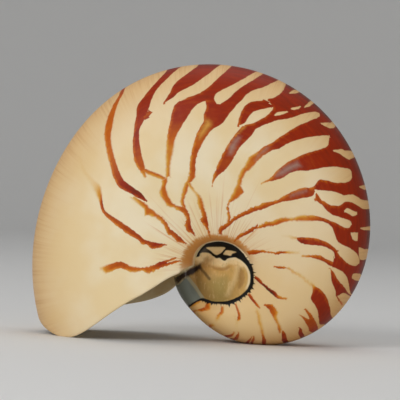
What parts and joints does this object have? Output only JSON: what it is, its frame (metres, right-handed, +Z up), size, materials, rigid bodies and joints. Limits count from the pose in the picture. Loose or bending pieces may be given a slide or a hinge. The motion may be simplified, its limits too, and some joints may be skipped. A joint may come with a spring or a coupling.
{
  "type": "nautilus shell",
  "caption": "Whole coiled seashell with an open body chamber and a callus-plugged umbilicus, standing upright on the lobes of its lip and the outer wall of the coil.",
  "frame": {"origin": "centre of the shell's length, on its median plane, at the level of the surface it stands on", "axes": "+Z up; the coil lies in the XZ plane, with its axis along Y; the mouth opens downward at -X; the side with the straighter lip faces -Y"},
  "size_m": [0.1722, 0.0831, 0.1412],
  "materials": {
    "shell": "satin cream with rust-brown flame stripes, pearly inside the mouth, black film round the umbilicus"
  },
  "bodies": {
    "root": {"shell": "shell"}
  },
  "joints": []
}
